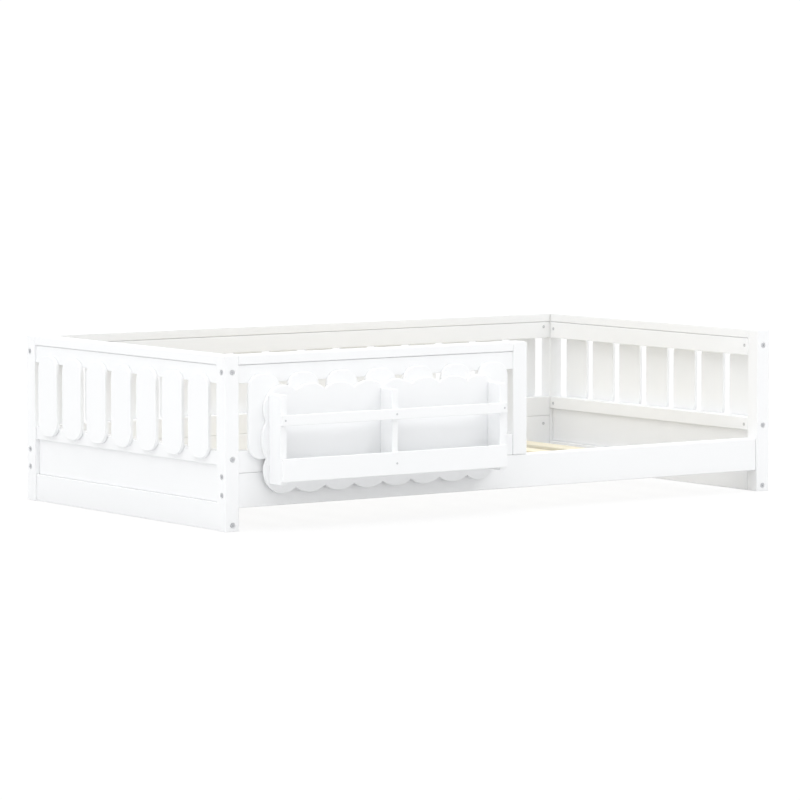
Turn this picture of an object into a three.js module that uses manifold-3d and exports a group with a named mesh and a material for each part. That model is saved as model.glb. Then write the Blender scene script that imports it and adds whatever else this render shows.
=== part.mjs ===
// A low floor bed for a toddler: white painted pine, fenced all round with broad round-ended
// pickets, open for climbing in at the right of the front, and with a scalloped two-bay
// bookshelf on the front guard.
//
// Millimetres. X runs along the bed, Y from the front to the rear, and Z is up. The origin is on
// the floor, under the middle of everything.

import * as THREE from 'three';
import { mergeVertices } from 'three/addons/utils/BufferGeometryUtils.js';
import Module from 'manifold-3d';

const wasm = await Module();
wasm.setup();

// ---------------------------------------------------------------- driving sizes

const gap = 0.3; // left between faces that are glued, screwed or resting
const arcStep = Math.PI / 24; // the longest step along a round stretch

// the frame
const bedLength = 2006; // over the posts
const bedWidth = 1100; // over the posts
const postSide = 47;
const postHeight = 500;
const postTopRadius = 8;

// the fence, the same on every side
const railSetback = 5; // rails lie this far behind the posts' outer faces
const capSetback = 1; // the cap along the top of a rail stands nearly flush with the posts
const capHeight = 28;
const topRailHeight = 81; // with its cap
const lowRailTop = 226;
const picketWidth = 107;
const picketThickness = 12;
const picketCornerRadius = 43;
const picketLap = 25; // how far a picket reaches over each rail

// the long sides
const sideRailBottom = 65;
const sideRailHeight = 99;
const sideRailSetback = 6;
const rearPickets = 14;

// the ends, closed down to the floor
const endPickets = 7;
const floorBoardHeight = 80;
const middleBoardHeight = 106;
const middleBoardSetback = 14; // behind the posts' outer faces
const middleBoardThickness = 21;

// the front guard, from the left post to the entry
const guardLength = 1070; // from the left end's outer face to the entry
const guardPickets = 7;
const stileWidth = 51;
const stileSetback = 3;
const stileTopRadius = 10;

// the bookshelf, hung on the guard's pickets
const shelfMiddleHeight = 256;
const lobePitchAlong = 101;
const lobePitchUp = 108;
const lobesAlong = 8;
const lobesUp = 3;
const lobeRise = 16; // how far a lobe bulges past its two cusps
const cornerLobeRun = 100; // from a corner lobe's cusp to the panel's cusp line, along the bed
const cornerLobeClimb = 86; // and upwards
const cornerLobeRadius = 67;
const shelfPanelThickness = 10;
const shelfWidth = 793; // over the outer uprights
const shelfBottom = 131; // the uprights' feet
const uprightHeight = 256;
const uprightThickness = 20;
const uprightDepth = 60;
const shelfBoardThickness = 10;
const frontBoardRise = 9; // the front board's lower edge over the uprights' feet
const frontBoardHeight = 66;
const barRise = 169; // the upper bar's lower edge over the uprights' feet
const barHeight = 30;

// the slatted base
const slatCount = 12;
const slatWidth = 70;
const slatThickness = 12;
const slatTop = 90;
const slatEndSpace = 130; // from the end rails' inner faces to the first and last slat
const slatSideSpace = 4;
const ledgerWidth = 25;
const ledgerHeight = 16;
const ledgerEndSpace = 85;

// ---------------------------------------------------------------- sizes that follow

const railThickness = postSide - railSetback;
const lengthBay = bedLength - 2 * postSide; // between the posts
const widthBay = bedWidth - 2 * postSide;
const guardBay = guardLength - postSide - stileWidth;
const topRailBottom = postHeight - topRailHeight;
const sideRailTop = sideRailBottom + sideRailHeight;
const picketBottom = lowRailTop - picketLap;
const picketTop = topRailBottom + picketLap;
const picketFace = railSetback - gap - picketThickness; // outer face, from the posts' faces
const panelBack = picketFace - gap;
const uprightBack = panelBack - shelfPanelThickness - gap;
const uprightFront = uprightBack - uprightDepth;
const shelfFront = uprightFront - gap - shelfBoardThickness;

// ---------------------------------------------------------------- finishes

const paint = new THREE.MeshStandardMaterial({ color: 0xf6f5f2, roughness: 0.45, metalness: 0 });
const pine = new THREE.MeshStandardMaterial({ color: 0xe6d6ae, roughness: 0.7, metalness: 0 });

// ---------------------------------------------------------------- the frame of reference

// The pickets stand proud of the posts at the rear, and the bookshelf reaches out in front, so
// the bed is moved until the origin is under the middle of the whole.
const bed = new THREE.Group();
bed.position.y = (picketFace - shelfFront) / 2;

// Each side is built as if it were the front: local x runs along it, and local y is 0 at the
// posts' outer faces and grows inwards.
function side(x, y, turn) {
  const group = new THREE.Group();
  group.position.set(x, y, 0);
  group.rotation.z = turn;
  bed.add(group);
  return group;
}
const front = side(0, -bedWidth / 2, 0);
const rear = side(0, bedWidth / 2, Math.PI);
const leftEnd = side(-bedLength / 2, 0, -Math.PI / 2);
const rightEnd = side(bedLength / 2, 0, Math.PI / 2);

// ---------------------------------------------------------------- shapes

function piece(group, name, geometry, material) {
  const mesh = new THREE.Mesh(geometry, material);
  mesh.name = name;
  group.add(mesh);
}

// A square-edged board given by its two ends along x, y and z.
function boardGeometry(x, y, z) {
  const geometry = new THREE.BoxGeometry(x[1] - x[0], y[1] - y[0], z[1] - z[0]);
  geometry.translate((x[0] + x[1]) / 2, (y[0] + y[1]) / 2, (z[0] + z[1]) / 2);
  return geometry;
}

// A board cut to an outline in x and z, with its thickness in y.
function cutBoardGeometry(outline, y) {
  const thickness = y[1] - y[0];
  const geometry = new THREE.ExtrudeGeometry(outline, { depth: thickness, bevelEnabled: false });
  geometry.rotateX(Math.PI / 2);
  geometry.translate(0, y[1], 0);
  return geometry;
}

const row = (count, place) => Array.from({ length: count }, (_, i) => place(i));

// Points along an arc between two points of a clockwise outline, bulging outwards, without the
// last one.
function arcPoints(from, to, radius) {
  const chord = to.clone().sub(from);
  const half = chord.length() / 2;
  const inwards = new THREE.Vector2(chord.y, -chord.x).normalize();
  const centre = from.clone().add(to).multiplyScalar(0.5);
  centre.addScaledVector(inwards, Math.sqrt(Math.max(0, radius ** 2 - half ** 2)));
  const turn = 2 * Math.asin(Math.min(1, half / radius));
  const steps = Math.ceil(turn / arcStep);
  return row(steps, (i) => from.clone().rotateAround(centre, (-turn * i) / steps));
}

// A rectangle with a radius at each corner, in the order bottom left, top left, top right,
// bottom right. A radius is limited by the rectangle.
function roundedOutline(x, z, radii) {
  const limit = Math.min(x[1] - x[0], z[1] - z[0]) / 2 - gap;
  const corners = [
    { at: [x[0], z[0]], arriving: [-1, 0], leaving: [0, 1] },
    { at: [x[0], z[1]], arriving: [0, 1], leaving: [1, 0] },
    { at: [x[1], z[1]], arriving: [1, 0], leaving: [0, -1] },
    { at: [x[1], z[0]], arriving: [0, -1], leaving: [-1, 0] },
  ];
  const points = corners.flatMap(({ at, arriving, leaving }, i) => {
    const corner = new THREE.Vector2(...at);
    const radius = Math.min(radii[i], limit);
    if (radius === 0) return [corner];
    const from = corner.clone().addScaledVector(new THREE.Vector2(...arriving), -radius);
    const to = corner.clone().addScaledVector(new THREE.Vector2(...leaving), radius);
    return [...arcPoints(from, to, radius), to];
  });
  return new THREE.Shape(points);
}

// A fence's top rail, with the proud cap along its top, as one moulded length along x.
function topRailGeometry(x) {
  const section = new THREE.Shape();
  const capBottom = postHeight - capHeight;
  section.moveTo(postSide, topRailBottom);
  section.lineTo(postSide, postHeight);
  section.lineTo(capSetback, postHeight);
  section.lineTo(capSetback, capBottom);
  section.lineTo(railSetback, capBottom);
  section.lineTo(railSetback, topRailBottom);
  const geometry = new THREE.ExtrudeGeometry(section, { depth: x[1] - x[0], bevelEnabled: false });
  geometry.rotateX(Math.PI / 2);
  geometry.rotateZ(Math.PI / 2);
  geometry.translate(x[0], 0, 0);
  return geometry;
}

function lowRailGeometry(x, bottom) {
  return boardGeometry(x, [railSetback, postSide], [bottom, lowRailTop]);
}

// The centres of like boards that are spread over a bay with equal spaces between and beside.
function spread(count, width, from, to) {
  const space = (to - from - count * width) / (count + 1);
  return row(count, (i) => from + space + width / 2 + i * (space + width));
}

function picketGeometry(middle, back = railSetback - gap) {
  const x = [middle - picketWidth / 2, middle + picketWidth / 2];
  const radii = Array(4).fill(picketCornerRadius);
  const outline = roundedOutline(x, [picketBottom, picketTop], radii);
  return cutBoardGeometry(outline, [picketFace, back]);
}

// Both ends of a member that butts between two faces, each with its gap.
const between = (from, to) => [from + gap, to - gap];

// ---------------------------------------------------------------- posts

function post(group, name, x) {
  const radii = [0, postTopRadius, postTopRadius, 0];
  const outline = roundedOutline([x, x + postSide], [0, postHeight], radii);
  piece(group, name, cutBoardGeometry(outline, [0, postSide]), paint);
}
post(front, 'front_left_post', -bedLength / 2);
post(front, 'front_right_post', bedLength / 2 - postSide);
post(rear, 'rear_right_post', -bedLength / 2);
post(rear, 'rear_left_post', bedLength / 2 - postSide);

// ---------------------------------------------------------------- the two ends

function end(group, name) {
  const x = between(-widthBay / 2, widthBay / 2);
  const middleBoardTop = floorBoardHeight + gap + middleBoardHeight;
  piece(group, `${name}_floor_board`,
    boardGeometry(x, [railSetback, postSide], [0, floorBoardHeight]), paint);
  piece(group, `${name}_middle_board`,
    boardGeometry(x, [middleBoardSetback, middleBoardSetback + middleBoardThickness],
      [floorBoardHeight + gap, middleBoardTop]), paint);
  piece(group, `${name}_low_rail`, lowRailGeometry(x, middleBoardTop + gap), paint);
  piece(group, `${name}_top_rail`, topRailGeometry(x), paint);
  spread(endPickets, picketWidth, -widthBay / 2, widthBay / 2).forEach((middle, i) => {
    piece(group, `${name}_picket_${i + 1}`, picketGeometry(middle), paint);
  });
}
end(leftEnd, 'left_end');
end(rightEnd, 'right_end');

// ---------------------------------------------------------------- side rails

const sideRailX = between(-lengthBay / 2, lengthBay / 2);
for (const [group, name] of [[front, 'front'], [rear, 'rear']]) {
  piece(group, `${name}_side_rail`,
    boardGeometry(sideRailX, [sideRailSetback, postSide], [sideRailBottom, sideRailTop]), paint);
}

// ---------------------------------------------------------------- the rear fence

// One glued panel: both rails and all the pickets. Each picket reaches into the rails by the
// gap that it keeps elsewhere, so that the join is a solid one.
function solid(geometry) {
  const bare = geometry.clone();
  bare.deleteAttribute('normal');
  bare.deleteAttribute('uv');
  const merged = mergeVertices(bare, 1e-4);
  return new wasm.Manifold(new wasm.Mesh({
    numProp: 3,
    vertProperties: new Float32Array(merged.attributes.position.array),
    triVerts: new Uint32Array(merged.index.array),
  }));
}

function surface(manifold) {
  const mesh = manifold.getMesh();
  const geometry = new THREE.BufferGeometry();
  geometry.setAttribute('position', new THREE.BufferAttribute(mesh.vertProperties, 3));
  geometry.setIndex(new THREE.BufferAttribute(mesh.triVerts, 1));
  geometry.computeVertexNormals();
  return geometry;
}

let rearPanel = solid(topRailGeometry(sideRailX));
rearPanel = rearPanel.add(solid(lowRailGeometry(sideRailX, sideRailTop + gap)));
for (const middle of spread(rearPickets, picketWidth, -lengthBay / 2, lengthBay / 2)) {
  rearPanel = rearPanel.add(solid(picketGeometry(middle, railSetback + gap)));
}
piece(rear, 'rear_fence_panel', surface(rearPanel), paint);

// ---------------------------------------------------------------- the front guard

const guardFrom = -bedLength / 2 + postSide;
const guardTo = guardFrom + guardBay;
const guardX = between(guardFrom, guardTo);
piece(front, 'guard_low_rail', lowRailGeometry(guardX, sideRailTop + gap), paint);
piece(front, 'guard_top_rail', topRailGeometry(guardX), paint);
const stileOutline = roundedOutline([guardTo, guardTo + stileWidth],
  [sideRailTop + gap, postHeight], [0, 0, stileTopRadius, 0]);
piece(front, 'guard_stile', cutBoardGeometry(stileOutline, [stileSetback, postSide]), paint);
spread(guardPickets, picketWidth, guardFrom, guardTo).forEach((middle, i) => {
  piece(front, `guard_picket_${i + 1}`, picketGeometry(middle), paint);
});

// ---------------------------------------------------------------- the bookshelf

// The back panel's scalloped outline is a ring of arcs from cusp to cusp. A straight row's lobe
// rises by lobeRise over its chord, and a corner lobe has its own radius.
const shelfMiddle = (guardFrom + guardTo) / 2;
const cuspsHalfLength = (lobesAlong - 2) / 2 * lobePitchAlong;
const cuspsHalfHeight = (lobesUp - 2) / 2 * lobePitchUp;
const cuspLineX = cuspsHalfLength + cornerLobeRun;
const cuspLineZ = cuspsHalfHeight + cornerLobeClimb;

const topCusps = row(lobesAlong - 1, (i) => [-cuspsHalfLength + i * lobePitchAlong, cuspLineZ]);
const rightCusps = row(lobesUp - 1, (i) => [cuspLineX, cuspsHalfHeight - i * lobePitchUp]);
const cusps = [
  ...topCusps,
  ...rightCusps,
  ...topCusps.map(([x, z]) => [-x, -z]),
  ...rightCusps.map(([x, z]) => [-x, -z]),
].map(([x, z]) => new THREE.Vector2(shelfMiddle + x, shelfMiddleHeight + z));

function lobePoints(from, to) {
  const half = from.distanceTo(to) / 2;
  const inLine = Math.min(Math.abs(to.x - from.x), Math.abs(to.y - from.y)) < gap;
  const rowRadius = (half ** 2 + lobeRise ** 2) / (2 * lobeRise);
  return arcPoints(from, to, inLine ? rowRadius : Math.max(cornerLobeRadius, half));
}

const cloud = new THREE.Shape(
  cusps.flatMap((cusp, i) => lobePoints(cusp, cusps[(i + 1) % cusps.length])));
piece(front, 'bookshelf_back_panel',
  cutBoardGeometry(cloud, [panelBack - shelfPanelThickness, panelBack]), paint);

const shelfLeft = shelfMiddle - shelfWidth / 2;
const shelfRight = shelfMiddle + shelfWidth / 2;
const shelfFloorBottom = shelfBottom + frontBoardRise;
const shelfFloorTop = shelfFloorBottom + shelfBoardThickness;
const uprightTop = shelfBottom + uprightHeight;

function upright(name, x, bottom) {
  piece(front, name, boardGeometry([x, x + uprightThickness], [uprightFront, uprightBack],
    [bottom, uprightTop]), paint);
}
upright('bookshelf_left_side', shelfLeft, shelfBottom);
upright('bookshelf_right_side', shelfRight - uprightThickness, shelfBottom);
upright('bookshelf_divider', shelfMiddle - uprightThickness / 2, shelfFloorTop + gap);

// The floor of the shelf is one board from side to side, and the divider stands on it.
piece(front, 'bookshelf_floor',
  boardGeometry(between(shelfLeft + uprightThickness, shelfRight - uprightThickness),
    [uprightFront, uprightBack], [shelfFloorBottom, shelfFloorTop]), paint);

function shelfFrontBoard(name, rise, height) {
  piece(front, name, boardGeometry([shelfLeft, shelfRight],
    [shelfFront, shelfFront + shelfBoardThickness],
    [shelfBottom + rise, shelfBottom + rise + height]), paint);
}
shelfFrontBoard('bookshelf_front_board', frontBoardRise, frontBoardHeight);
shelfFrontBoard('bookshelf_front_bar', barRise, barHeight);

// ---------------------------------------------------------------- the slatted base

const ledgerTop = slatTop - slatThickness - gap;
const ledgerX = [-lengthBay / 2 + ledgerEndSpace, lengthBay / 2 - ledgerEndSpace];
for (const [group, name] of [[front, 'front'], [rear, 'rear']]) {
  piece(group, `${name}_slat_ledger`,
    boardGeometry(ledgerX, [postSide + gap, postSide + gap + ledgerWidth],
      [ledgerTop - ledgerHeight, ledgerTop]), pine);
}

const slatHalfLength = widthBay / 2 - slatSideSpace;
const slatSpace = (lengthBay - 2 * slatEndSpace - slatCount * slatWidth) / (slatCount - 1);
row(slatCount, (i) => -lengthBay / 2 + slatEndSpace + i * (slatWidth + slatSpace))
  .forEach((x, i) => {
    piece(bed, `slat_${i + 1}`, boardGeometry([x, x + slatWidth],
      [-slatHalfLength, slatHalfLength], [slatTop - slatThickness, slatTop]), pine);
  });

export default bed;
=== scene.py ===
import math

import bmesh
import bpy
from mathutils import Matrix, Vector


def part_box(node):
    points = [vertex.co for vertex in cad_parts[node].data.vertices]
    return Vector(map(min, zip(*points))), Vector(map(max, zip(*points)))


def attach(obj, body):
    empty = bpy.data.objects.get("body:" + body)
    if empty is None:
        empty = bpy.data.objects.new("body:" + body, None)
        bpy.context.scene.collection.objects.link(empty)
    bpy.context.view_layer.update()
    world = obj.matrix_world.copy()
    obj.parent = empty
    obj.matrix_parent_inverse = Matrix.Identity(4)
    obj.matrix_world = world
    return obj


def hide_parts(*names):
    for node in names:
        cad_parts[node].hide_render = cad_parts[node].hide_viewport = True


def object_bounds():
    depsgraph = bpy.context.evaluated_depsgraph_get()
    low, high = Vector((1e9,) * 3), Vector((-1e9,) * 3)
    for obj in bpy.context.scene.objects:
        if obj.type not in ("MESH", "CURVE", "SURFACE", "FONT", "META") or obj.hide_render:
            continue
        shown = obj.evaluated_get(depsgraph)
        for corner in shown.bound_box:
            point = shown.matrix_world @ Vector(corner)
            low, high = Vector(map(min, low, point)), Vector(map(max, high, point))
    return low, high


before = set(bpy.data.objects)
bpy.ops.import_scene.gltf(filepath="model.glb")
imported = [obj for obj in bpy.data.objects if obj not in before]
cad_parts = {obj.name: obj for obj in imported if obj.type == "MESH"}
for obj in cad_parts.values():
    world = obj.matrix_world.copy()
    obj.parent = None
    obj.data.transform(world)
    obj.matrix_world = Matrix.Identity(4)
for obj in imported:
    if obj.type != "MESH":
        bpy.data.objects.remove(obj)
cad_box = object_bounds()
bpy.ops.object.select_all(action="DESELECT")


# ------------------------------------------------------------------ posts
# Four square posts of solid pine, 47 mm, stand on their end grain at the corners. Their edges are
# eased, and a counterbore is drilled wherever a connector bolt passes through. They are sprayed
# white, as all of the bed is but its slats and the ledgers under them.


def linear(colour):
    """An sRGB hex colour as linear red, green, blue and alpha."""
    parts = [int(colour[i : i + 2], 16) / 255 for i in (1, 3, 5)]
    return [c / 12.92 if c <= 0.04045 else ((c + 0.055) / 1.055) ** 2.4 for c in parts] + [1.0]


def add_node(material, kind, settings=None, links=None):
    """A shader node with its settings, by socket or attribute, and its incoming links."""
    node = material.node_tree.nodes.new(kind)
    for name, value in (settings or {}).items():
        if isinstance(name, int) or name in node.inputs:
            node.inputs[name].default_value = value
        else:
            setattr(node, name, value)
    for name, source in (links or {}).items():
        material.node_tree.links.new(source, node.inputs[name])
    return node


def new_material(name):
    """An empty material and the output node of its shader tree."""
    material = bpy.data.materials.new(name)
    material.use_nodes = True
    material.node_tree.nodes.clear()
    return material, add_node(material, "ShaderNodeOutputMaterial")


# Water-based lacquer, sprayed white over sanded pine: a satin skin with a very fine orange peel,
# through which the raised grain of the softwood just shows as long low ridges, 4 mm apart.
WHITE_LACQUER = "#F9FAFB"
WHITE_LACQUER_THIN = "#F6F7F8"
GRAIN_ACROSS = 250  # ridges in a metre, across the board
GRAIN_ALONG = 6
PEEL = 420  # orange peel dimples in a metre


def white_lacquer(along):
    """The white lacquer with its grain running along an axis: 0, 1 or 2."""
    material, output = new_material("white_lacquer_on_pine_" + "xyz"[along])
    place = add_node(material, "ShaderNodeTexCoord").outputs["Object"]
    stretch = [GRAIN_ACROSS] * 3
    stretch[along] = GRAIN_ALONG
    grain_place = add_node(
        material, "ShaderNodeMapping", {"Scale": stretch}, {"Vector": place}
    ).outputs["Vector"]
    grain = add_node(
        material, "ShaderNodeTexNoise",
        {"Scale": 1.0, "Detail": 3.0, "Roughness": 0.6, "Distortion": 0.3},
        {"Vector": grain_place},
    ).outputs["Fac"]
    peel = add_node(
        material, "ShaderNodeTexNoise", {"Scale": PEEL, "Detail": 1.0}, {"Vector": place}
    ).outputs["Fac"]
    cloud = add_node(
        material, "ShaderNodeTexNoise", {"Scale": 5.0, "Detail": 2.0}, {"Vector": place}
    ).outputs["Fac"]
    thin = add_node(
        material, "ShaderNodeMath", {"operation": "MULTIPLY"}, {0: grain, 1: cloud}
    ).outputs["Value"]
    colour = add_node(
        material, "ShaderNodeMix",
        {"data_type": "RGBA", 6: linear(WHITE_LACQUER), 7: linear(WHITE_LACQUER_THIN)},
        {0: thin},
    ).outputs[2]
    sheen = add_node(
        material, "ShaderNodeMapRange",
        {"From Min": 0.3, "From Max": 0.7, "To Min": 0.36, "To Max": 0.46},
        {"Value": cloud},
    ).outputs["Result"]
    peeled = add_node(
        material, "ShaderNodeBump", {"Strength": 0.12, "Distance": 0.0002}, {"Height": peel}
    ).outputs["Normal"]
    grained = add_node(
        material, "ShaderNodeBump", {"Strength": 0.35, "Distance": 0.0003},
        {"Height": grain, "Normal": peeled},
    ).outputs["Normal"]
    shader = add_node(
        material, "ShaderNodeBsdfPrincipled", {"IOR": 1.5},
        {"Base Color": colour, "Roughness": sheen, "Normal": grained},
    )
    material.node_tree.links.new(shader.outputs["BSDF"], output.inputs["Surface"])
    return material


lacquer = [white_lacquer(along) for along in range(3)]


def block(name, low, high):
    """A cube stretched over a box, with its place in its mesh."""
    middle = [(a + b) / 2 for a, b in zip(low, high)]
    size = [b - a for a, b in zip(low, high)]
    bpy.ops.mesh.primitive_cube_add(size=1, location=middle, scale=size)
    bpy.ops.object.transform_apply(location=True, rotation=True, scale=True)
    made = bpy.context.object
    made.name = name
    made.data.name = name
    return made


def make_active(piece):
    bpy.ops.object.select_all(action="DESELECT")
    bpy.context.view_layer.objects.active = piece
    piece.select_set(True)


def select_edges(piece, wanted):
    """Goes to edit mode with just the edges that wanted() picks selected."""
    make_active(piece)
    bpy.ops.object.mode_set(mode="EDIT")
    bpy.ops.mesh.select_mode(type="EDGE")
    bpy.ops.mesh.select_all(action="DESELECT")
    shape = bmesh.from_edit_mesh(piece.data)
    for edge in shape.edges:
        edge.select_set(wanted(edge))
    bmesh.update_edit_mesh(piece.data)


def ease(piece, radius, steps, wanted):
    """Rounds over the edges that wanted() picks."""
    select_edges(piece, wanted)
    bpy.ops.mesh.bevel(offset=radius, segments=steps, affect="EDGES")
    bpy.ops.object.mode_set(mode="OBJECT")


SHARP_ANGLE = math.radians(40)


def is_sharp(edge):
    """Whether the faces beside an edge meet at more than a rounded edge's facets do."""
    return edge.calc_face_angle(0) > SHARP_ANGLE


def runs_along(axis):
    """A test for the edges that run along an axis."""

    def test(edge):
        a, b = (corner.co for corner in edge.verts)
        return abs((b - a).normalized()[axis]) > 0.999

    return test


def apply_modifier(piece, kind, settings):
    """Adds a modifier with its settings, and applies it."""
    make_active(piece)
    modifier = piece.modifiers.new(kind.lower(), kind)
    for name, value in settings.items():
        setattr(modifier, name, value)
    bpy.ops.object.modifier_apply(modifier=modifier.name)


def smooth(piece):
    """Shades rounded edges smooth beside flat faces."""
    make_active(piece)
    bpy.ops.object.shade_smooth_by_angle(angle=SHARP_ANGLE)
    apply_modifier(piece, "WEIGHTED_NORMAL", {"mode": "FACE_AREA", "keep_sharp": True})


def fit(piece, finish, nodes=()):
    """Gives a piece its finish, hangs it on the root body, and hides the solids it stands for."""
    piece.data.materials.clear()
    piece.data.materials.append(finish)
    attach(piece, "root")
    if nodes:
        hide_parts(*nodes)


def copy_of(piece, name, move):
    """A copy with its own mesh, moved by a matrix."""
    copy = piece.copy()
    copy.data = piece.data.copy()
    copy.name = name
    copy.data.name = name
    copy.data.transform(move)
    bpy.context.scene.collection.objects.link(copy)
    return copy


POST_NAMES = ("front_left", "front_right", "rear_left", "rear_right")
POST_EDGE = 0.003
FOOT_EDGE = 0.001
MID_HEIGHT = 0.25  # parts the edges at the top from those at the foot
END_FACE_BOLTS = (0.452, 0.155, 0.102)  # heights of the bolts into the long rails
END_FACE_BOLT_IN = 0.019  # from the post's outer long side
SIDE_FACE_BOLTS = (0.4515, 0.204, 0.017)  # heights of the bolts into the end boards
SIDE_FACE_BOLT_IN = 0.0245  # from the post's end face
COUNTERBORE_RADIUS = 0.0085
COUNTERBORE_DEPTH = 0.0035


def is_top(edge):
    return is_sharp(edge) and min(corner.co.z for corner in edge.verts) > MID_HEIGHT


def is_foot(edge):
    return is_sharp(edge) and max(corner.co.z for corner in edge.verts) < MID_HEIGHT


bolt_places = []
for corner in POST_NAMES:
    node = corner + "_post"
    low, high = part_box(node)
    out_x = 1 if "right" in corner else -1
    out_y = 1 if "rear" in corner else -1
    face_x = high[0] if out_x > 0 else low[0]
    face_y = high[1] if out_y > 0 else low[1]
    # there is no top rail to bolt on beside the entry
    end_face_bolts = END_FACE_BOLTS[1:] if corner == "front_right" else END_FACE_BOLTS
    places = [
        (Vector((face_x, face_y - out_y * END_FACE_BOLT_IN, z)), Vector((out_x, 0, 0)))
        for z in end_face_bolts
    ] + [
        (Vector((face_x - out_x * SIDE_FACE_BOLT_IN, face_y, z)), Vector((0, out_y, 0)))
        for z in SIDE_FACE_BOLTS
    ]
    bolt_places += places

    post = block(corner + "_corner_post", low, high)
    ease(post, POST_EDGE, 3, runs_along(2))
    ease(post, POST_EDGE, 3, is_top)
    ease(post, FOOT_EDGE, 1, is_foot)
    drills = []
    for middle, outwards in places:
        bpy.ops.mesh.primitive_cylinder_add(
            vertices=32, radius=COUNTERBORE_RADIUS, depth=2 * COUNTERBORE_DEPTH,
            location=middle, rotation=outwards.to_track_quat("Z", "Y").to_euler(),
        )
        drills.append(bpy.context.object)
    for drill in drills:
        drill.select_set(True)
    bpy.context.view_layer.objects.active = drills[0]
    bpy.ops.object.join()
    drill = bpy.context.object
    apply_modifier(post, "BOOLEAN", {"operation": "DIFFERENCE", "solver": "EXACT", "object": drill})
    bpy.data.objects.remove(drill)
    smooth(post)
    fit(post, lacquer[2], [node])


# ------------------------------------------------------------------ the two ends
# Each end is closed down to the floor: a thick floor board, a thinner board set back above it, and
# a low rail. A rail under a broad flat cap runs along the top. All are pine boards bolted between
# the posts through their end grain.
BOARD_EDGE = 0.002
CAP_EDGE = 0.003
CAP_HEIGHT = 0.028
CAP_PROUD = 0.004  # the cap overhangs the rail's outer face
SEAM = 0.0007  # the open joint under the cap
cad_middle = (cad_box[0] + cad_box[1]) / 2


def white_board(name, low, high, radius, nodes):
    """A white board with eased edges, with its grain along its length."""
    size = Vector(high) - Vector(low)
    longest = max(range(3), key=lambda axis: size[axis])
    board = block(name, low, high)
    ease(board, radius, 3, is_sharp)
    smooth(board)
    fit(board, lacquer[longest], nodes)


def board_over(node, name, radius=BOARD_EDGE):
    """A white board in the place of a solid."""
    low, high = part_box(node)
    white_board(name, low, high, radius, [node])


def capped_rail(node):
    """A top rail as two boards: the cap along its top, and the rail under it."""
    low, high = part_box(node)
    seam = high[2] - CAP_HEIGHT
    across = 0 if high[0] - low[0] < high[1] - low[1] else 1
    rail_low, rail_high = list(low), list(high)
    rail_high[2] = seam - SEAM
    if (low[across] + high[across]) / 2 < cad_middle[across]:
        rail_low[across] += CAP_PROUD
    else:
        rail_high[across] -= CAP_PROUD
    white_board(node + "_under_cap", rail_low, rail_high, BOARD_EDGE, [node])
    white_board(node + "_cap", (low[0], low[1], seam), high, CAP_EDGE, ())


for end in ("left_end", "right_end"):
    board_over(end + "_floor_board", end + "_plinth")
    board_over(end + "_middle_board", end + "_set_back_board")
    board_over(end + "_low_rail", end + "_lower_rail")
    capped_rail(end + "_top_rail")


# ------------------------------------------------------------------ pickets
# Broad round-cornered boards of 12 mm, glued and pinned on the outer faces of the rails, where
# they stand proud of the posts. One is shaped and the others are copies of it.
PICKET_CORNER = 0.043
PICKET_EDGE = 0.0025

low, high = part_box("guard_picket_1")
first_picket = block("guard_picket_1_board", low, high)
ease(first_picket, PICKET_CORNER, 12, runs_along(1))
ease(first_picket, PICKET_EDGE, 3, is_sharp)
smooth(first_picket)
picket_middle = (low + high) / 2
picket_size = high - low

picket_nodes = [f"guard_picket_{i}" for i in range(1, 8)]
for end in ("left_end", "right_end"):
    picket_nodes += [f"{end}_picket_{i}" for i in range(1, 8)]
TURNS = {"guard": 0, "left_end": -math.pi / 2, "right_end": math.pi / 2, "rear": math.pi}


def picket_at(name, middle, side, nodes):
    """A copy of the first picket that faces outwards from its side of the bed."""
    move = Matrix.Translation(middle) @ Matrix.Rotation(TURNS[side], 4, "Z")
    move = move @ Matrix.Translation(-picket_middle)
    picket = copy_of(first_picket, name, move)
    fit(picket, lacquer[2], nodes)


for node in picket_nodes[1:]:
    low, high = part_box(node)
    picket_at(node + "_board", (low + high) / 2, node.split("_picket")[0], [node])
fit(first_picket, lacquer[2], ["guard_picket_1"])


# ------------------------------------------------------------------ side rails
# Two long rails tie the ends together and carry the slats. Each is one pine board, bolted to the
# posts with two bolts at each end.
SIDE_RAIL_EDGE = 0.003

for side in ("front", "rear"):
    board_over(side + "_side_rail", side + "_long_rail", SIDE_RAIL_EDGE)


# ------------------------------------------------------------------ rear fence
# The rear fence is one panel: a lower rail and a capped top rail with a row of pickets glued on
# their outer faces.
REAR_PICKETS = 14
LOW_RAIL_TOP = 0.226
TOP_RAIL_HEIGHT = 0.081
CLEARANCE = 0.0003  # between the panel and the posts

panel_low, panel_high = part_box("rear_fence_panel")
left, inside, bottom = panel_low
right, outside, top = panel_high
outer_face = outside - picket_size[1]
lower_rail = ((left, inside, bottom), (right, outer_face, LOW_RAIL_TOP))
under_cap = ((left, inside, top - TOP_RAIL_HEIGHT), (right, outer_face, top - CAP_HEIGHT - SEAM))
cap = ((left, inside, top - CAP_HEIGHT), (right, outer_face + CAP_PROUD, top))
white_board("rear_fence_lower_rail", *lower_rail, BOARD_EDGE, ["rear_fence_panel"])
white_board("rear_fence_under_cap", *under_cap, BOARD_EDGE, ())
white_board("rear_fence_cap", *cap, CAP_EDGE, ())

bay = (left - CLEARANCE, right + CLEARANCE)
space = (bay[1] - bay[0] - REAR_PICKETS * picket_size[0]) / (REAR_PICKETS + 1)
for i in range(REAR_PICKETS):
    x = bay[0] + space + picket_size[0] / 2 + i * (space + picket_size[0])
    middle = Vector((x, outside - picket_size[1] / 2, picket_middle[2]))
    picket_at(f"rear_picket_{i + 1}_board", middle, "rear", ())


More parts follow.
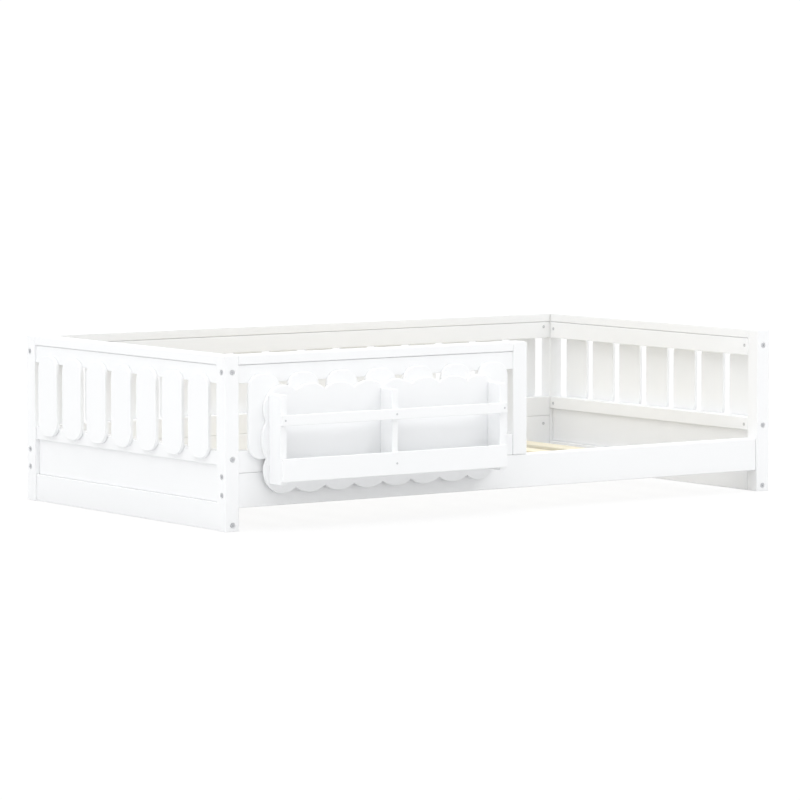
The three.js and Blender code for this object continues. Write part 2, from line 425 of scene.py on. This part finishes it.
# ------------------------------------------------------------------ front guard
# The guard is like the ends' fence but short, and closed towards the entry by a stile that stands
# on the side rail. The stile's top corners are rounded off.
STILE_CORNER = 0.010
STILE_EDGE = 0.003

board_over("guard_low_rail", "guard_lower_rail")
capped_rail("guard_top_rail")

stile = block("guard_entry_stile", *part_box("guard_stile"))
ease(stile, STILE_CORNER, 8, lambda edge: runs_along(1)(edge) and is_top(edge))
ease(stile, STILE_EDGE, 3, is_sharp)
smooth(stile)
fit(stile, lacquer[2], ["guard_stile"])


# ------------------------------------------------------------------ bookshelf
# A scalloped back panel is screwed over the guard's pickets. On it stand two sides and a divider,
# with a floor, a deep front board and a slim bar across the front of both bays.
PANEL_EDGE = 0.0025
SHELF_EDGE = 0.0015
SHELF_BOARDS = ("left_side", "right_side", "divider", "floor", "front_board", "front_bar")

panel_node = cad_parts["bookshelf_back_panel"]
back_panel = copy_of(panel_node, "bookshelf_scalloped_back", Matrix.Identity(4))
for key in list(back_panel.keys()):
    if key.startswith("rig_"):
        del back_panel[key]
back_panel.parent = None
make_active(back_panel)
bpy.ops.object.mode_set(mode="EDIT")
bpy.ops.mesh.select_mode(type="EDGE")
bpy.ops.mesh.select_all(action="SELECT")
bpy.ops.mesh.remove_doubles(threshold=0.00001)
bpy.ops.mesh.dissolve_limited(angle_limit=math.radians(1))
bpy.ops.object.mode_set(mode="OBJECT")
back_panel.data.shade_flat()


def is_rim(edge):
    """The rims of the panel's two broad faces."""
    flat = [abs(face.normal.y) > 0.99 for face in edge.link_faces]
    return any(flat) and not all(flat)


ease(back_panel, PANEL_EDGE, 3, is_rim)
smooth(back_panel)
fit(back_panel, lacquer[0], ["bookshelf_back_panel"])

for board in SHELF_BOARDS:
    board_over("bookshelf_" + board, "bookshelf_painted_" + board, SHELF_EDGE)


# ------------------------------------------------------------------ slats
# Pine slats, planed and left bare, lie across two ledgers that are screwed inside the side rails.
# Flat-sawn growth rings show as long wavering bands, with a knot here and there.
PINE_EARLY = "#F0ECDC"
PINE_LATE = "#E2D6B8"
PINE_KNOT = "#B58A5A"
SLATS = 12
LEDGER_EDGE = 0.0015
SLAT_EDGE = 0.0025  # along its length
SLAT_END_EDGE = 0.001


def bare_pine(along):
    """Planed pine with its grain along an axis: bands 9 mm apart, and fibres drawn 1 mm wide."""
    material, output = new_material("planed_pine_" + "xyz"[along])
    place = add_node(material, "ShaderNodeTexCoord").outputs["Object"]
    band_stretch = [14.0] * 3
    band_stretch[along] = 1.6
    bands_place = add_node(
        material, "ShaderNodeMapping", {"Scale": band_stretch}, {"Vector": place}
    ).outputs["Vector"]
    bands = add_node(
        material, "ShaderNodeTexWave",
        {"wave_type": "BANDS", "bands_direction": "XYZ"[1 - along], "Scale": 2.4,
         "Distortion": 5.0, "Detail": 2.0, "Detail Scale": 1.2},
        {"Vector": bands_place},
    ).outputs["Fac"]
    fibre_stretch = [900.0] * 3
    fibre_stretch[along] = 18.0
    fibre_place = add_node(
        material, "ShaderNodeMapping", {"Scale": fibre_stretch}, {"Vector": place}
    ).outputs["Vector"]
    fibres = add_node(
        material, "ShaderNodeTexNoise", {"Scale": 1.0, "Detail": 2.0}, {"Vector": fibre_place}
    ).outputs["Fac"]
    streaked = add_node(
        material, "ShaderNodeMix", {"data_type": "FLOAT", 0: 0.35}, {2: bands, 3: fibres}
    ).outputs[0]
    wood = add_node(
        material, "ShaderNodeMix",
        {"data_type": "RGBA", 6: linear(PINE_EARLY), 7: linear(PINE_LATE)},
        {0: streaked},
    ).outputs[2]
    knot_stretch = [9.0] * 3
    knot_stretch[along] = 3.0
    knot_place = add_node(
        material, "ShaderNodeMapping", {"Scale": knot_stretch}, {"Vector": place}
    ).outputs["Vector"]
    knots = add_node(
        material, "ShaderNodeTexVoronoi", {"Scale": 1.0}, {"Vector": knot_place}
    ).outputs["Distance"]
    knot = add_node(
        material, "ShaderNodeMapRange",
        {"From Min": 0.05, "From Max": 0.09, "To Min": 0.8, "To Max": 0.0},
        {"Value": knots},
    ).outputs["Result"]
    colour = add_node(
        material, "ShaderNodeMix",
        {"data_type": "RGBA", 7: linear(PINE_KNOT)},
        {0: knot, 6: wood},
    ).outputs[2]
    rough = add_node(
        material, "ShaderNodeMapRange", {"To Min": 0.62, "To Max": 0.52}, {"Value": streaked}
    ).outputs["Result"]
    relief = add_node(
        material, "ShaderNodeBump", {"Strength": 0.3, "Distance": 0.0003}, {"Height": fibres}
    ).outputs["Normal"]
    shader = add_node(
        material, "ShaderNodeBsdfPrincipled", {"IOR": 1.5},
        {"Base Color": colour, "Roughness": rough, "Normal": relief},
    )
    material.node_tree.links.new(shader.outputs["BSDF"], output.inputs["Surface"])
    return material


pine = [bare_pine(0), bare_pine(1)]

for side in ("front", "rear"):
    node = side + "_slat_ledger"
    ledger = block(side + "_pine_ledger", *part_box(node))
    ease(ledger, LEDGER_EDGE, 2, is_sharp)
    smooth(ledger)
    fit(ledger, pine[0], [node])

low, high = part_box("slat_1")
first_slat = block("slat_1_board", low, high)
ease(first_slat, SLAT_EDGE, 3, runs_along(1))
ease(first_slat, SLAT_END_EDGE, 1, is_sharp)
smooth(first_slat)
slat_middle = (low + high) / 2
slats = [first_slat]
for i in range(2, SLATS + 1):
    low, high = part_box(f"slat_{i}")
    move = Matrix.Translation((low + high) / 2 - slat_middle)
    slats.append(copy_of(first_slat, f"slat_{i}_board", move))
for i, slat in enumerate(slats):
    fit(slat, pine[1], [f"slat_{i + 1}"])


# ------------------------------------------------------------------ connector bolts
# Zinc-plated connector bolts with broad flat heads and a hex socket hold the rails to the posts.
# Each head lies in its counterbore, a little below the wood.
HEAD_RADIUS = 0.0064
HEAD_THICKNESS = 0.0024
SOCKET_RADIUS = 0.003
SOCKET_DEPTH = 0.0019
HEAD_IN = 0.001  # how far a head's top lies below the wood
ZINC = "#DFE0E2"
ZINC_DARK = "#C6C8CB"


def zinc_plate():
    """Bright zinc plate on pressed steel: a soft metal sheen with faint cloudy patches."""
    material, output = new_material("zinc_plated_steel")
    place = add_node(material, "ShaderNodeTexCoord").outputs["Object"]
    cloud = add_node(
        material, "ShaderNodeTexNoise", {"Scale": 160.0, "Detail": 3.0}, {"Vector": place}
    ).outputs["Fac"]
    colour = add_node(
        material, "ShaderNodeMix",
        {"data_type": "RGBA", 6: linear(ZINC), 7: linear(ZINC_DARK)},
        {0: cloud},
    ).outputs[2]
    rough = add_node(
        material, "ShaderNodeMapRange", {"To Min": 0.34, "To Max": 0.52}, {"Value": cloud}
    ).outputs["Result"]
    shader = add_node(
        material, "ShaderNodeBsdfPrincipled", {"Metallic": 1.0},
        {"Base Color": colour, "Roughness": rough},
    )
    material.node_tree.links.new(shader.outputs["BSDF"], output.inputs["Surface"])
    return material


zinc = zinc_plate()


ROUNDING = 0.3  # a head's rounded rim, as a share of its thickness


def is_rim_on_top(edge):
    return is_sharp(edge) and min(corner.co.z for corner in edge.verts) > -1e-6


def turned_head(name, radius, thickness, sides, socket_radius, socket_depth):
    """A round fastener head that faces +Z, its top at the origin, with a sunk socket."""
    bpy.ops.mesh.primitive_cylinder_add(
        vertices=48, radius=radius, depth=thickness, location=(0, 0, -thickness / 2)
    )
    bpy.ops.object.transform_apply(location=True, rotation=True, scale=True)
    head = bpy.context.object
    head.name = name
    ease(head, thickness * ROUNDING, 3, is_rim_on_top)
    bpy.ops.mesh.primitive_cylinder_add(
        vertices=sides, radius=socket_radius, depth=2 * socket_depth, location=(0, 0, 0)
    )
    socket = bpy.context.object
    apply_modifier(head, "BOOLEAN", {"operation": "DIFFERENCE", "solver": "EXACT", "object": socket})
    bpy.data.objects.remove(socket)
    smooth(head)
    return head


def set_fasteners(pattern, name, places, proud):
    """Copies a head to each place, a middle and a way outwards, and removes the first."""
    for i, (middle, outwards) in enumerate(places):
        turn = outwards.to_track_quat("Z", "Y").to_matrix().to_4x4()
        move = Matrix.Translation(middle + outwards * proud) @ turn
        fit(copy_of(pattern, f"{name}_{i + 1}", move), zinc)
    bpy.data.objects.remove(pattern)


bolt = turned_head("bolt_pattern", HEAD_RADIUS, HEAD_THICKNESS, 6, SOCKET_RADIUS, SOCKET_DEPTH)
set_fasteners(bolt, "connector_bolt", bolt_places, -HEAD_IN)


# ------------------------------------------------------------------ barrel nuts
# Each bolt ends in a steel barrel nut that is let into the rail from its inner face. Only the
# nut's end shows, a little proud of the wood, with a slot across it to turn it by.
NUT_RADIUS = 0.005
NUT_LENGTH = 0.003
NUT_PROUD = 0.0008
SLOT_HALF_WIDTH = 0.0009
SLOT_DEPTH = 0.001
SLOT_STRETCH = 3.2  # how far the square slot is drawn out
NUT_FROM_END_POST = 0.017  # from the post's face, along an end's rails
NUT_FROM_SIDE_POST = 0.027  # and along a side's
END_NUT_HEIGHTS = (0.449, 0.204)
SIDE_NUT_HEIGHTS = (0.456, 0.138)

nut = turned_head("nut_pattern", NUT_RADIUS, NUT_LENGTH, 4, SLOT_HALF_WIDTH, SLOT_DEPTH)
for point in nut.data.vertices:
    if math.hypot(point.co.x, point.co.y) < NUT_RADIUS / 2:
        point.co.x *= SLOT_STRETCH
nut_places = []
for corner in POST_NAMES:
    low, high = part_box(corner + "_post")
    in_x = -1 if "right" in corner else 1
    in_y = -1 if "rear" in corner else 1
    face_x = low[0] if in_x < 0 else high[0]
    face_y = low[1] if in_y < 0 else high[1]
    for z in END_NUT_HEIGHTS:
        place = Vector((face_x, face_y + in_y * NUT_FROM_END_POST, z))
        nut_places.append((place, Vector((in_x, 0, 0))))
    for z in SIDE_NUT_HEIGHTS:
        if corner == "front_right" and z > LOW_RAIL_TOP:
            continue
        place = Vector((face_x + in_x * NUT_FROM_SIDE_POST, face_y, z))
        nut_places.append((place, Vector((0, in_y, 0))))
set_fasteners(nut, "barrel_nut", nut_places, NUT_PROUD)


# ------------------------------------------------------------------ bookshelf screws
# Pan-head screws fix the slim bar to the two sides and the divider, and one more holds the front
# board to the divider.
SCREW_RADIUS = 0.003
SCREW_HEIGHT = 0.0016
SCREW_PROUD = 0.0008
RECESS_RADIUS = 0.0014
RECESS_DEPTH = 0.0009

bar_low, bar_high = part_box("bookshelf_front_bar")
board_low, board_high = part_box("bookshelf_front_board")
screw_places = []
for upright in ("left_side", "divider", "right_side"):
    low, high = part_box("bookshelf_" + upright)
    x = (low[0] + high[0]) / 2
    heights = [(bar_low[2] + bar_high[2]) / 2]
    if upright == "divider":
        heights.append((board_low[2] + board_high[2]) / 2)
    screw_places += [(Vector((x, bar_low[1], z)), Vector((0, -1, 0))) for z in heights]
screw = turned_head("screw_pattern", SCREW_RADIUS, SCREW_HEIGHT, 4, RECESS_RADIUS, RECESS_DEPTH)
set_fasteners(screw, "bookshelf_screw", screw_places, SCREW_PROUD)


# ------------------------------------------------------------------ studio
# A plain pale floor lies under a bright dome, with a bright rim along the horizon. Two broad weak
# suns, one from the front right and one from the left, give the faces their slight differences.
FLOOR_SIZE = 120
FLOOR_DROP = 0.0005  # below the posts' feet
FLOOR_PALE = "#DADADA"
FLOOR_SHADE = "#D6D6D6"
FLOOR_GLOW = 1.04
FLOOR_SHOWN = 0.85  # how much of the floor's own glow is seen, over the light that falls on it
HORIZON_GLOW = 1.05
HORIZON_FADE = (0.10, 0.25)  # heights between which the rim fades out
DOME_GLOW = 1.95  # straight overhead
KEY_GLOW = 0.22
KEY_SPREAD = 14
FILL_GLOW = 0.4
FILL_SPREAD = 60


def plain_floor():
    """A matte sweep that looks lit from within, so that it stays pale under the bed."""
    material, output = new_material("plain_pale_floor")
    place = add_node(material, "ShaderNodeTexCoord").outputs["Object"]
    cloud = add_node(
        material, "ShaderNodeTexNoise", {"Scale": 0.6, "Detail": 2.0}, {"Vector": place}
    ).outputs["Fac"]
    colour = add_node(
        material, "ShaderNodeMix",
        {"data_type": "RGBA", 6: linear(FLOOR_PALE), 7: linear(FLOOR_SHADE)},
        {0: cloud},
    ).outputs[2]
    matte = add_node(
        material, "ShaderNodeBsdfPrincipled", {"Roughness": 0.9}, {"Base Color": colour}
    ).outputs["BSDF"]
    glow = add_node(
        material, "ShaderNodeEmission", {"Color": linear("#FFFFFF"), "Strength": FLOOR_GLOW}
    ).outputs["Emission"]
    seen = add_node(material, "ShaderNodeLightPath").outputs["Is Camera Ray"]
    share = add_node(
        material, "ShaderNodeMath", {"operation": "MULTIPLY", 1: FLOOR_SHOWN}, {0: seen}
    ).outputs["Value"]
    mixed = add_node(
        material, "ShaderNodeMixShader", None, {0: share, 1: matte, 2: glow}
    ).outputs["Shader"]
    material.node_tree.links.new(mixed, output.inputs["Surface"])
    return material


bpy.ops.mesh.primitive_plane_add(size=FLOOR_SIZE, location=(0, 0, -FLOOR_DROP))
floor = bpy.context.object
floor.name = "studio_floor"
floor.data.materials.append(plain_floor())

world = bpy.data.worlds.new("soft_white_studio")
bpy.context.scene.world = world
world.use_nodes = True
backdrop = add_node(world, "ShaderNodeTexCoord").outputs["Generated"]
height = add_node(world, "ShaderNodeSeparateXYZ", None, {"Vector": backdrop}).outputs["Z"]
rim = add_node(
    world, "ShaderNodeMapRange",
    {"From Min": HORIZON_FADE[0], "From Max": HORIZON_FADE[1], "To Min": HORIZON_GLOW, "To Max": 0.0},
    {"Value": height},
).outputs["Result"]
dome = add_node(
    world, "ShaderNodeMapRange",
    {"From Min": HORIZON_FADE[0], "From Max": 1.0, "To Min": 0.0, "To Max": DOME_GLOW},
    {"Value": height},
).outputs["Result"]
glow = add_node(world, "ShaderNodeMath", {"operation": "ADD"}, {0: rim, 1: dome})
sky = world.node_tree.nodes["Background"]
sky.inputs["Color"].default_value = (1.0, 1.0, 1.0, 1.0)
world.node_tree.links.new(glow.outputs["Value"], sky.inputs["Strength"])


def soft_sun(name, towards, strength, spread):
    """A sun that shines from a direction, its disc spread over some degrees."""
    bpy.ops.object.light_add(type="SUN", location=towards)
    sun = bpy.context.object
    sun.name = name
    sun.data.energy = strength
    sun.data.angle = math.radians(spread)
    sun.rotation_euler = Vector(towards).to_track_quat("Z", "Y").to_euler()


soft_sun("key_from_the_front_right", (0.73, -1.0, 0.89), KEY_GLOW, KEY_SPREAD)
soft_sun("fill_from_the_left", (-1.0, -0.25, 0.7), FILL_GLOW, FILL_SPREAD)

bpy.context.scene.view_settings.view_transform = "Standard"

bpy.ops.object.camera_add(
    location=(-7.5966, -10.6359, 1.3552),
    rotation=(math.radians(85.36), 0, math.radians(-35.41)),
)
camera = bpy.context.object
camera.data.sensor_width = 36.0
camera.data.lens = 193.2
camera.data.clip_end = 300.0
bpy.context.scene.camera = camera
